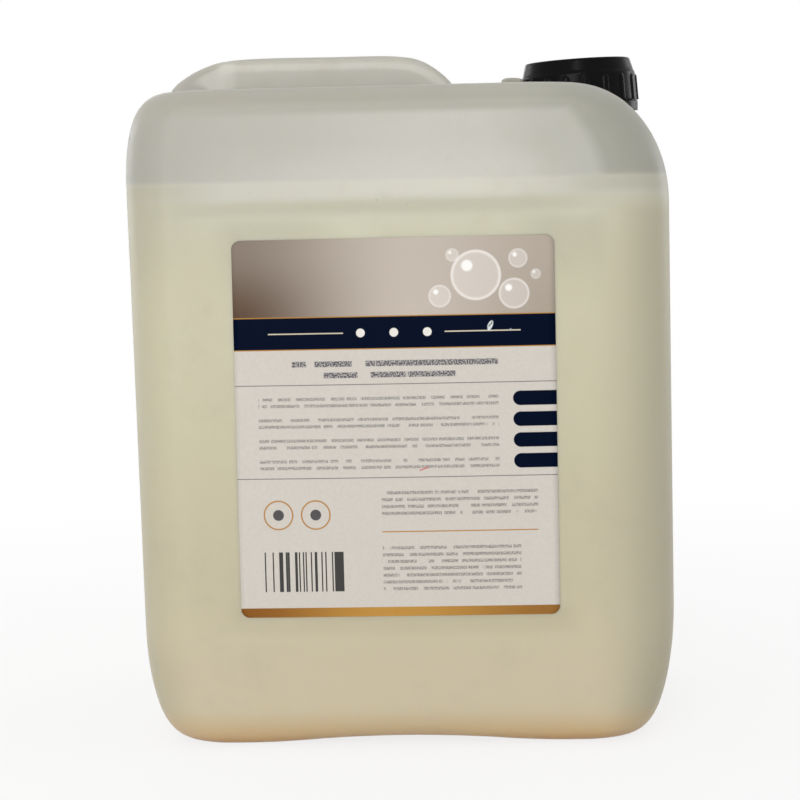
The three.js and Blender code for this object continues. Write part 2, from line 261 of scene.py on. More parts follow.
# Catmull-Rom curve through the handle's path points.
def smoothPath(points, perSpan):
    p = np.vstack([2 * points[0] - points[1], points, 2 * points[-1] - points[-2]])
    t = np.linspace(0, 1, perSpan, endpoint=False)[None, :, None]
    a, b, c, d = (p[k:len(p) - 3 + k][:, None] for k in range(4))
    curve = 0.5 * (2 * b + (c - a) * t + (2 * a - 5 * b + 4 * c - d) * t ** 2 + (3 * b - a - 3 * c + d) * t ** 3)
    return np.vstack([curve.reshape(-1, 2), points[-1:]])


handleCurve = smoothPath(np.array(handle["path"], float), handle["perSpan"])


def drawnIn(edge, below):  # how far a rounded edge has drawn in at a distance from its end
    across, up, power = edge
    t = np.clip(1 - below / up, 0, 1)
    return across * (1 - (1 - t ** power) ** (1 / power))


def blendMin(a, b, soft):  # the smaller of two fields, with a fillet where they meet
    h = np.clip(0.5 + 0.5 * (b - a) / soft, 0, 1)
    return b + (a - b) * h - soft * h * (1 - h)


def blendMax(a, b, soft):  # the larger of the two
    return -blendMin(-a, -b, soft)


def cornered(u, v, r):  # distance to a quarter plane u, v < 0 with its corner rounded by r
    u, v = u + r, v + r
    return np.hypot(np.maximum(u, 0), np.maximum(v, 0)) + np.minimum(np.maximum(u, v), 0) - r


def roundBox(p, low, high, r):  # distance to a box with rounded edges
    low, high = np.array(low, float), np.array(high, float)
    q = np.abs(p - (low + high) / 2) - ((high - low) / 2 - r)
    return np.linalg.norm(np.maximum(q, 0), axis=-1) + np.minimum(q.max(axis=-1), 0) - r


# Outward swell of a face panel: sunk by a firm step at the top and soft run-outs elsewhere, with a low dome between.
def panelSwell(x, z):
    mid = (can["panelLow"] + can["panelHigh"]) / 2
    halfZ = (can["panelHigh"] - can["panelLow"]) / 2
    ramps = ((can["panelHalf"] - np.abs(x)) / can["sideRun"], (can["panelHigh"] - z) / can["topRun"],
             (z - can["panelLow"]) / can["footRun"])
    sunk = np.prod([smooth(np.clip(r, 0, 1)) for r in ramps], axis=0)
    u = np.clip(x / can["panelHalf"], -1, 1)
    v = np.clip((z - mid) / halfZ, -1, 1)
    return can["panelBulge"] * (1 - u * u) * (1 - v * v) - can["panelDepth"] * sunk


# Level sections are rounded rectangles whose sides draw in towards the base and the shoulder.
def bodyField(p):
    x, y, z = p[..., 0], p[..., 1], p[..., 2]
    t = np.clip(np.abs(x) / can["archHalf"], 0, 1)
    low = z - can["archHigh"] * (1 - t * t) ** 2 * np.clip(1 - z / can["archReach"], 0, 1)
    top = can["shoulder"] - z
    left = -can["width"] / 2 + np.maximum(drawnIn(can["topLeft"], top), drawnIn(can["bottomLeft"], low))
    left = left + can["lean"] * np.clip(1 - z / can["liquid"], 0, 1)
    right = can["width"] / 2 - np.maximum(drawnIn(can["topRight"], top), drawnIn(can["bottomRight"], low))
    deep = can["face"] / 2 + panelSwell(x, z)
    deep = deep - np.maximum(drawnIn(can["topFace"], top), drawnIn(can["bottomFace"], low))
    plan = cornered(np.abs(x - (left + right) / 2) - (right - left) / 2, np.abs(y) - deep, can["edge"])
    return np.maximum(plan, np.maximum(-top, -low))


def handleField(p):  # a rounded section carried along the handle's path, thinner at the left post
    out = np.full(p.shape[:-1], handle["far"])
    near = (p[..., 2] > handle["above"]) & (p[..., 0] < handle["leftOf"]) & (np.abs(p[..., 1]) < handle["within"])
    x, y, z = p[near].T
    best = np.full(len(x), 1e9)
    for start, end in zip(handleCurve[:-1], handleCurve[1:]):
        d = end - start
        s = np.clip(((x - start[0]) * d[0] + (z - start[1]) * d[1]) / (d @ d), 0, 1)
        best = np.minimum(best, np.hypot(x - start[0] - s * d[0], z - start[1] - s * d[1]))
    thin = smooth(np.clip((handle["thinFrom"] - x) / handle["thinRun"], 0, 1))
    deep = handle["deep"] - handle["postThin"] * thin
    out[near] = cornered(best - handle["high"], np.abs(y) - deep, handle["round"])
    return out


# The body less the finger well and the trough round the neck, with the handle, the lug and the neck's collar.
def canField(p):
    field = bodyField(p)
    for opening in ("well", "trough"):
        field = blendMax(field, -roundBox(p, *can[opening]), can["fillet"])
    field = blendMin(field, handleField(p), can["fillet"])
    away = p - neck["foot"]
    height = away @ neckUp
    radius = np.linalg.norm(away - height[..., None] * neckUp, axis=-1)
    lug = blendMax(roundBox(p, *can["lug"]), can["lugClear"] - radius, can["lugCut"])  # kept clear of the cap
    field = blendMin(field, lug, can["rootFillet"])
    r = can["collarRound"]
    collar = cornered(radius - can["collar"] - r, np.abs(height - can["collarMiddle"]) - can["collarHalf"] - r, r)
    field = blendMin(field, collar, can["rootFillet"])
    return np.maximum(field, -np.maximum(radius - can["bore"], can["boreFloor"] - height))


slide = {"times": 6, "probe": 0.1, "leastSlope": 0.05, "longest": 0.8}


# Zero surface of a field on a grid: one point in each cell that it crosses, four cells joined at each crossed edge,
# then the points slide down the field's slope on to the surface.
def skinOf(fieldOf, low, high, step):
    counts = [int(math.ceil((b - a) / step)) + 1 for a, b in zip(low, high)]
    axes = [a + step * np.arange(n) for a, n in zip(low, counts)]
    slabs = (np.stack(np.meshgrid([x], axes[1], axes[2], indexing="ij"), axis=-1)[0] for x in axes[0])
    value = np.stack([fieldOf(slab) for slab in slabs])
    inside = value < 0
    cells = tuple(n - 1 for n in counts)
    total = np.zeros(cells + (3,))
    hits = np.zeros(cells)
    corner = np.indices(cells).transpose(1, 2, 3, 0)
    for axis in range(3):
        for first in (0, 1):
            for second in (0, 1):
                shift = [0, 0, 0]
                shift[(axis + 1) % 3], shift[(axis + 2) % 3] = first, second
                a = tuple(slice(s, s + n) for s, n in zip(shift, cells))
                shift[axis] = 1
                b = tuple(slice(s, s + n) for s, n in zip(shift, cells))
                shift[axis] = 0
                crossed = inside[a] != inside[b]
                gap = np.where(crossed, value[b] - value[a], 1.0)
                spot = corner + np.array(shift, float)
                spot[..., axis] += np.where(crossed, -value[a] / gap, 0)
                total += np.where(crossed[..., None], spot, 0)
                hits += crossed
    live = hits > 0
    number = np.full(cells, -1)
    number[live] = np.arange(live.sum())
    points = np.array(low) + step * total[live] / hits[live][:, None]
    faces = []
    for axis in range(3):
        one, two = (axis + 1) % 3, (axis + 2) % 3
        a = [slice(0, n) for n in counts]
        b = [slice(0, n) for n in counts]
        a[axis], b[axis] = slice(0, -1), slice(1, None)
        for other in (one, two):
            a[other] = b[other] = slice(1, -1)
        flip = inside[tuple(a)] != inside[tuple(b)]
        solidFirst = inside[tuple(a)][flip]
        base = np.argwhere(flip) + np.array([0 if k == axis else 1 for k in range(3)])
        ring = []
        for da, db in ((-1, -1), (0, -1), (0, 0), (-1, 0)):
            cell = base.copy()
            cell[:, one] += da
            cell[:, two] += db
            ring.append(number[cell[:, 0], cell[:, 1], cell[:, 2]])
        quad = np.stack(ring, axis=1)
        faces.append(np.where(solidFirst[:, None], quad, quad[:, ::-1]))
    for turn in range(slide["times"]):
        here = fieldOf(points)
        slope = [fieldOf(points + e) - fieldOf(points - e) for e in np.eye(3) * slide["probe"]]
        slope = np.stack(slope, axis=-1) / (2 * slide["probe"])
        move = slope * (here / np.maximum((slope ** 2).sum(axis=-1), slide["leastSlope"]))[:, None]
        far = np.linalg.norm(move, axis=1)
        points = points - move * np.minimum(1, slide["longest"] / np.maximum(far, 1e-9))[:, None]
    return points, np.vstack(faces)


# Each point moves a part of the way to the middle of its neighbours, which takes out pits at creases.
def easedPoints(points, faces, part, times):
    edges = np.vstack([faces[:, [k, (k + 1) % 4]] for k in range(4)])
    share = np.bincount(edges[:, 0], minlength=len(points))[:, None]
    for turn in range(times):
        near = [np.bincount(edges[:, 0], points[edges[:, 1], k], len(points)) for k in range(3)]
        points = points + part * (np.stack(near, axis=1) / share - points)
    return points


# 1 at the two roots of the handle's post, fading to 0 away from them.
def postRoots(points):
    x, y, z = handle["postRoot"]
    away = np.hypot(np.hypot(points[:, 0] - x, np.abs(points[:, 1]) - y), points[:, 2] - z)
    return np.clip(2 - away / handle["rootReach"], 0, 1)[:, None]


# Height part of each point's normal: the sum of the normals of the faces that meet there, brought to length one.
def upwardOf(points, faces):
    cross = np.cross(points[faces[:, 2]] - points[faces[:, 0]], points[faces[:, 3]] - points[faces[:, 1]])
    total = [np.bincount(faces.ravel(), np.repeat(cross[:, k], 4), len(points)) for k in range(3)]
    total = np.stack(total, axis=1)
    return total[:, 2] / np.maximum(np.linalg.norm(total, axis=1), 1e-9)


natural = {
    "sheen": 0.958, "rough": 0.42, "roughSpread": 0.14, "lineWeight": 0.12, "bubbleWeight": 0.35,
    "even": {"Subsurface Weight": 0.55, "Subsurface Radius": (1.0, 0.85, 0.6), "Subsurface Scale": 0.006,
             "IOR": 1.5, "Specular IOR Level": 0.3},
}


def skin(r, g, b):  # ink for the can's plastic, whose sheen adds to what is written
    return ink(r * natural["sheen"], g * natural["sheen"], b * natural["sheen"])


# Natural plastic with the soap behind it: greyer above the liquid, creamier below, with painted warm light at the
# foot and painted light and shade over the front, the corners and the handle.
def naturalPlastic():
    material, shader, start = newMaterial("naturalPlastic")
    where, x, y, z = place(start)
    cloud = grain(start, where, 0.025, 3.0)
    mottle = grain(start, where, 0.16, 2.0)
    level = z + (cloud - 0.5) * 1.2
    filled = level.ease(can["liquid"] + 0.8, can["liquid"] - 0.8)
    # painted light and shade: the upper part is brightest right of the middle and dims to both ends
    glow = x.ease(-58.0, 18.0) * x.ease(62.0, 26.0)
    leftPaintedShade = x.ease(-50.0, -95.0)
    rightPaintedShade = x.ease(50.0, 78.0)
    upper = z.ease(190.0, 194.5)
    # painted shade: the front is a little darker above both ends of the label, with a painted shadow under it
    front = y.ease(20.0, -20.0)
    leftEnd = x.ease(-14.0, -36.0) * x.ease(-68.0, -54.0)
    rightEnd = x.ease(34.0, 56.0) * x.ease(76.0, 68.0)
    paintedShadeOverLabel = front * rightEnd.math("MAXIMUM", leftEnd) * z.ease(150.0, 180.0) * z.ease(188.0, 182.0)
    paintedShadowUnderLabel = front * abs(z - 45.0).ease(7.0, 2.0) * abs(x).ease(66.0, 54.0)
    creamy = laid(
        skin(206, 204, 183),
        (z.ease(189.0, 170.0), skin(205, 200, 173)),
        (z.ease(150.0, 60.0), skin(202, 194, 166)),
        (z.ease(60.0, 22.0), skin(207, 196, 169)),
        (x.ease(64.0, 88.0) * 0.8, skin(186, 180, 157)),  # painted shade: the corners are a little darker
        (x.ease(-76.0, -95.0) * 0.5, skin(188, 182, 160)),
        # painted shade at the lower corners
        (abs(x).ease(68.0, 88.0) * z.ease(46.0, 24.0) * 0.5, skin(186, 178, 152)),
        (z.ease(16.0, 1.0), skin(212, 184, 140)),  # painted warm light at the foot
        # painted warm light, strongest at the bottom edge
        (z.ease(5.0, 0.4), skin(206, 164, 106)),
        (z.ease(186.0, 193.0), skin(205, 203, 190)),
        (abs(z - 189.0).ease(4.5, 1.0) * 0.6, skin(196, 194, 172)),  # painted shade along the step above the panel
        # painted light and shade on the band under the liquid line
        (upper * glow, skin(214, 212, 199)),
        (upper * leftPaintedShade, skin(190, 188, 175)),
        (upper * rightPaintedShade, skin(189, 187, 171)),
        # painted shade at the upper left end
        (x.ease(-56.0, -92.0) * z.ease(150.0, 185.0) * 0.7, skin(186, 182, 160)),
        # painted shade over the label's ends and painted shadow under the label
        (paintedShadeOverLabel * 0.65, skin(188, 185, 163)),
        (paintedShadowUnderLabel * 0.5, skin(188, 179, 151)))

    # painted shade: the empty shell is darker where it turns away from the face: over the top, and round the right
    # corner
    across, up, _ = can["topRight"]
    over = ((z - can["shoulder"] + up) / up).math("MAXIMUM", 0.0).math("MINIMUM", 1.0)
    inset = can["width"] / 2 - across * (1.0 - (1.0 - over * over).math("SQRT")) - x
    turned = (can["face"] / 2 - abs(y)).ease(0.02, 0.55) * x.ease(-84.0, -52.0)
    turned = turned.math("MAXIMUM", z.ease(219.6, 222.6)).math("MAXIMUM", inset.ease(26.0, 19.5))
    # painted shade on the lug's top
    paintedShadeOnLug = abs(x - 42.0).ease(8.0, 5.0) * abs(y).ease(17.0, 13.0) * z.ease(228.0, 231.0)
    # the handle: painted shade on its post and along the top, and a painted highlight along the upper front edge
    bar = abs(y).ease(24.0, 15.0) * x.ease(32.0, 22.0) * z.ease(206.0, 222.0)
    bar = bar * x.ease(-84.0, -72.0).math("MAXIMUM", z.ease(223.0, 231.0))  # not the side wall below the post
    upward = start.node("ShaderNodeAttribute", {"attribute_name": "upward"}, None, out=2)
    paintedEdgeHighlight = upward.ease(0.04, 0.16) * upward.ease(0.5, 0.3)
    empty = laid(
        skin(188, 186, 176),
        # painted shade at the left end, painted light right of the middle, painted shade towards the right end
        (leftPaintedShade, skin(176, 174, 164)),
        (glow, skin(201, 199, 190)),
        (x.ease(44.0, 60.0) * 0.7, skin(190, 189, 180)),
        (z.ease(213.0, 199.0) * x.ease(-90.0, 0.0) * x.ease(66.0, 40.0) * 0.5, skin(213, 211, 202)),
        # painted shade where the shell turns away, deeper towards the right
        (turned, x.ease(40.0, 64.0).tint(skin(177, 175, 163), skin(168, 167, 156))),
        (paintedShadeOnLug * 0.8, skin(160, 158, 148)),
        (bar, skin(201, 199, 188)),
        # painted shade on the handle's post
        (bar * x.ease(-63.0, -72.0), skin(180, 178, 168)),
        # painted highlight on the handle's front beside the post
        (bar * abs(x + 63.5).ease(5.0, 1.0) * z.ease(226.0, 234.0) * 0.9, skin(216, 214, 206)),
        # painted shade where the handle faces up
        (bar * upward.ease(0.45, 0.85) * 0.8, skin(184, 182, 172)),
        # painted highlight along the handle's upper front edge
        (bar * paintedEdgeHighlight * 0.6, skin(222, 220, 212)))

    line = abs(level - can["liquid"]).ease(1.6, 0.2)
    dots = bubbles(start, where, 0.13).ease(0.085, 0.05) * z.ease(186.0, 190.0) * z.ease(198.0, 196.0)
    colour = laid(
        filled.tint(empty, creamy),
        (line * natural["lineWeight"], skin(214, 212, 200)),
        (dots * natural["bubbleWeight"], skin(176, 172, 152)),  # a few bubbles under the liquid line
        (((mottle - 0.5) * 0.35 + (cloud - 0.5) * 0.5).ease(0.0, 0.5), skin(186, 180, 158)))
    plug(colour, shader, "Base Color")
    rough = natural["rough"] + (grain(start, where, 0.5, 3.0) - 0.5) * natural["roughSpread"]
    plug(rough, shader, "Roughness")
    seam = abs(y).ease(0.55, 0.12)
    fine = bumped(start, grain(start, where, 1.6, 3.0), 0.10, 0.0003)
    wavy = bumped(start, grain(start, where, 0.05, 2.0), 0.25, 0.0012, fine)
    plug(bumped(start, seam, 0.6, 0.0003, wavy), shader, "Normal")
    setEven(shader, natural["even"])
    return material


canPlastic = naturalPlastic()
canPoints, canFaces = skinOf(canField, can["gridLow"], can["gridHigh"], can["step"])
canPoints = easedPoints(canPoints, canFaces, *can["easing"])
rootPart, rootTimes = can["rootEasing"]
canPoints = easedPoints(canPoints, canFaces, rootPart * postRoots(canPoints), rootTimes)
canSkin = meshPiece("canSkin", canPoints, canFaces.tolist(), canPlastic, "can_body")
upwardValues = canSkin.data.attributes.new("upward", "FLOAT", "POINT").data
upwardValues.foreach_set("value", upwardOf(canPoints, canFaces))
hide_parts("can")
print("can", len(canPoints), "points", len(canFaces), "faces")


# The neck tube with its helical thread: the radius swells where the height lies on the helix.
def neckShape(angle, radius, height):
    swell = neck["thread"]["rise"] * smooth(threadCrest(angle, height, neck["thread"]))
    return radius + np.where(radius > neck["radius"] - 0.1, swell, 0), height


neckPoints, neckFaces = turnedSurface(softSection(neck["section"], neck["step"], True), neck["segments"], neckShape)
neckTube = meshPiece("neckTube", neckPoints, neckFaces, canPlastic, "can_body")
print("neck", len(neckFaces), "faces")


# cap, tamper ring and liner: sections run from corner to corner as (radius, height, corner radius)
cap = {
    "low": 1.9, "radius": 21.4, "bore": 20.05, "step": 0.42, "perRib": 24,
    "section": [(0.0, 15.9, 0), (18.3, 15.9, 0.5), (18.45, 14.2, 0.4), (20.05, 12.3, 0.5), (20.05, 1.9, 0.3),
                (21.4, 1.9, 0.35), (21.1, 12.3, 0.35), (20.65, 12.95, 0.4), (19.3, 17.7, 0.6), (0.0, 17.7, 0)],
    "ribs": 18, "ribWide": 2.0, "ribRise": 0.55, "ribHigh": 11.2, "ribSlope": 0.45, "ribSpread": 0.2, "ribFoot": 0.5,
    "firstRib": math.radians(-83.5),
    "thread": {"start": 7.3, "half": 0.8, "slope": 0.4, "rise": 1.5},
}


# Ribs: raised bars round the skirt with a rounded top; inside, the thread that runs in the neck's groove.
def capShape(angle, radius, height):
    pitch = fullTurn / cap["ribs"]
    a = (angle - cap["firstRib"]) / pitch
    across = np.abs(a - np.round(a)) * pitch * cap["radius"]
    above = np.maximum(height - (cap["ribHigh"] - cap["ribWide"] / 2), 0)
    below = np.maximum(cap["low"] + cap["ribFoot"] - height, 0)
    off = np.hypot(across, above + below * 2)
    rib = smooth(np.clip((cap["ribWide"] / 2 + cap["ribSpread"] - off) / cap["ribSlope"], 0, 1))
    outer = radius > cap["bore"] + 0.6
    inner = np.abs(radius - cap["bore"]) < 0.1
    crest = threadCrest(angle, height, cap["thread"])
    outward = np.where(outer, cap["ribRise"] * rib, 0)
    inward = np.where(inner, cap["thread"]["rise"] * crest, 0)
    return radius + outward - inward, height


black = {"rough": 0.24, "patchSpread": 0.12, "poreSpread": 0.16, "poreDeep": 0.00004,
         "even": {"Specular IOR Level": 0.07}}


def blackPlastic(name, speckle):  # moulded black with fine pores, dull in patches
    material, shader, start = newMaterial(name)
    where = place(start)[0]
    pores = grain(start, where, 2.6, 2.0, 0.6)
    patch = grain(start, where, 0.3, 3.0)
    plug(pores.ease(0.35, 0.75).tint(ink(4, 4, 5), ink(14, 14, 14)), shader, "Base Color")
    rough = black["rough"] + (patch - 0.5) * black["patchSpread"] + (pores - 0.5) * black["poreSpread"]
    plug(rough, shader, "Roughness")
    plug(bumped(start, pores, speckle, black["poreDeep"]), shader, "Normal")
    setEven(shader, black["even"])
    return material


capSection = softSection(cap["section"], cap["step"], False)
capPoints, capFaces = turnedSurface(capSection, cap["ribs"] * cap["perRib"], capShape, closed=False)
capPiece = meshPiece("capShell", capPoints, capFaces, blackPlastic("capPlastic", 0.55), "cap")
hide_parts("screw_cap")

band = {
    "section": [(19.5, -2.0, 0.25), (21.4, -2.0, 0.4), (21.6, 1.6, 0.45), (18.5, 1.6, 0.25), (18.5, 0.8, 0.3)],
    "step": 0.3, "segments": 288, "topFrom": 1.3, "outerFrom": 20.3,
    "bridges": 12, "bridgeHalf": 0.8, "bridgeSlope": 0.3, "bridgeRise": 0.25, "bridgeRadius": 21.0,
}


# The break-off band, with small bridges standing up from its top edge.
def bandShape(angle, radius, height):
    pitch = fullTurn / band["bridges"]
    across = np.abs(angle / pitch - np.round(angle / pitch)) * pitch * band["bridgeRadius"]
    t = np.clip((band["bridgeHalf"] - across) / band["bridgeSlope"], 0, 1)
    rim = (height > band["topFrom"]) & (radius > band["outerFrom"])
    return radius, height + np.where(rim, band["bridgeRise"] * t, 0)


bandPoints, bandFaces = turnedSurface(softSection(band["section"], band["step"], True), band["segments"], bandShape)
bandPiece = meshPiece("tamperBand", bandPoints, bandFaces, blackPlastic("bandPlastic", 0.45), "can_body")
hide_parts("tamper_ring")

liner = {"section": [(0.0, 14.3, 0), (17.8, 14.3, 0.35), (17.8, 15.6, 0.35), (0.0, 15.6, 0)],
         "step": 0.5, "segments": 96, "cellScale": 1.8}


def linerFoam():  # pale foam with closed cells
    material, shader, start = newMaterial("linerFoam")
    cells = bubbles(start, place(start)[0], liner["cellScale"])
    plug(cells.ease(0.1, 0.7).tint(ink(206, 203, 194), ink(232, 230, 222)), shader, "Base Color")
    plug(0.75 + cells * 0.2, shader, "Roughness")
    plug(bumped(start, cells, 0.3, 0.0003), shader, "Normal")
    return material


linerSection = softSection(liner["section"], liner["step"], False)
linerPoints, linerFaces = turnedSurface(linerSection, liner["segments"], None, closed=False)
linerPiece = meshPiece("sealDisc", linerPoints, linerFaces, linerFoam(), "liner")
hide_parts("cap_liner")
print("cap", len(capFaces), "band", len(bandFaces), "disc", len(linerFaces))

# soap: the liquid's own solid, inside the can
soap = {"swirlScale": 0.03, "even": {"Subsurface Weight": 0.4, "Subsurface Scale": 0.004}}


def soapCream():
    material, shader, start = newMaterial("soapCream")
    swirl = grain(start, place(start)[0], soap["swirlScale"], 3.0)
    plug(swirl.ease(0.3, 0.7).tint(ink(231, 224, 198), ink(242, 237, 216)), shader, "Base Color")
    plug(0.12 + swirl * 0.1, shader, "Roughness")
    setEven(shader, soap["even"])
    return material


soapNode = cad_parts["soap"]
soapNode.data.materials.clear()
soapNode.data.materials.append(soapCream())

# label: a thin sheet on the front panel; its print counts from the left edge and up from the zero line
label = {"x": -1.0, "wide": 111.0, "low": 46.8, "zero": 47.8, "high": 178.1, "corner": 3.0,
         "lift": 0.06, "thick": 0.14, "cornerRows": 9, "rows": 61, "columns": 49}


# Rows run up the sheet; each row's half width shrinks on a quarter circle at the rounded corners.
def labelSheet():
    rise = label["high"] - label["low"]
    r = label["corner"]
    ends = r * (1 - np.cos(np.linspace(0, math.pi / 2, label["cornerRows"])))
    height = np.concatenate([ends, np.linspace(r, rise - r, label["rows"])[1:-1], (rise - ends)[::-1]])
    end = np.minimum(np.minimum(height, rise - height), r)
    half = label["wide"] / 2 - r + np.sqrt(np.maximum(r * r - (r - end) ** 2, 0))
    x = label["x"] + half[:, None] * np.linspace(-1, 1, label["columns"])[None, :]
    z = np.broadcast_to((label["low"] + height)[:, None], x.shape)
    back = can["face"] / 2 + panelSwell(x, z) + label["lift"]
    rows, columns = x.shape
    front = np.stack([x, -back - label["thick"], z], axis=-1).reshape(-1, 3)
    rear = np.stack([x, -back, z], axis=-1).reshape(-1, 3)
    k = np.arange(rows * columns).reshape(rows, columns)
    quads = np.stack([k[:-1, :-1], k[:-1, 1:], k[1:, 1:], k[1:, :-1]], axis=-1).reshape(-1, 4)
    rim = np.concatenate([k[0, :-1], k[:-1, -1], k[-1, :0:-1], k[:0:-1, 0]])
    after = np.roll(rim, -1)
    n = rows * columns
    edge = np.stack([rim, rim + n, after + n, after], axis=-1)
    return np.vstack([front, rear]), np.vstack([quads, quads[:, ::-1] + n, edge])


inks = {
    "paper": ink(204, 198, 190), "fibre": ink(189, 183, 175), "navy": ink(0, 9, 32), "gold": ink(176, 130, 66),
    "grey": ink(98, 94, 95), "slate": ink(66, 66, 78), "rule": ink(120, 116, 116), "bars": ink(28, 28, 32),
    "fieldLeft": ink(92, 73, 59), "fieldMiddle": ink(190, 179, 168), "fieldRight": ink(166, 155, 142),
    "fieldTop": ink(184, 174, 162), "bubble": ink(238, 232, 227), "bubbleRim": ink(246, 242, 238),
    "glint": ink(252, 250, 248), "dot": ink(226, 222, 216), "dash": ink(206, 196, 176),
    "stripLeft": ink(132, 84, 36), "stripMiddle": ink(184, 138, 68), "stripRight": ink(146, 102, 50),
    "chip": ink(208, 214, 214), "speck": ink(150, 158, 170), "tick": ink(200, 70, 80),
}
printed = {
    "soft": 0.12, "stripTop": (2.4, 2.15), "fieldFoot": (103.3, 103.55), "band": (92.2, 103.7), "bandEdge": 0.35,
    "bubbles": ((84, 117, 8.6), (97, 110.5, 5.2), (71.5, 110, 3.8), (98.5, 122.5, 3.2), (76, 124, 2.2),
                (104.5, 117, 1.7)),
    "dots": (44.0, 55.5, 67.0), "dotHigh": 97.9, "dotRadius": 1.5,
    "dashes": ((12, 38, 97.7, 98.1), (73, 99, 97.7, 98.1)),
    "rules": (80.0, 47.6), "ruleThick": 0.3, "goldRule": (50, 104, 28.6, 29.0),
    "tabs": 4, "tabLow": 50.4, "tabPitch": 7.2, "tabHigh": 5.0, "tabLeft": 98.5,
    # rows of strokes: left, right, low, high; pitch, filled part, word scale, seed; weight and ink
    "rows": [((20, 91, 86.2, 88.9), (2.7, 0.72, 0.17, 41.0), 0.9, "slate"),
             ((31, 80, 82.3, 85.0), (2.7, 0.72, 0.17, 57.0), 0.9, "slate"),
             ((50, 104, 34.5, 44.0), (2.4, 0.46, 0.30, 11.0), 0.65, "grey"),
             ((50, 98, 8.0, 24.6), (2.4, 0.46, 0.28, 23.0), 0.65, "grey")],
    "tabRows": ((8, 91), (0.3, 4.9), (2.3, 0.46, 0.32), 0.62),
    "barBlock": (8.5, 37.0, 8.0, 22.0), "barWide": 0.46, "rings": (14.0, 27.0), "ringHigh": 35.0,
    "chip": (88.6, 99.6), "speck": (95.6, 98.2, 0.3), "tick": (65.0, 50.6),
    "even": {"Specular IOR Level": 0.03},
}


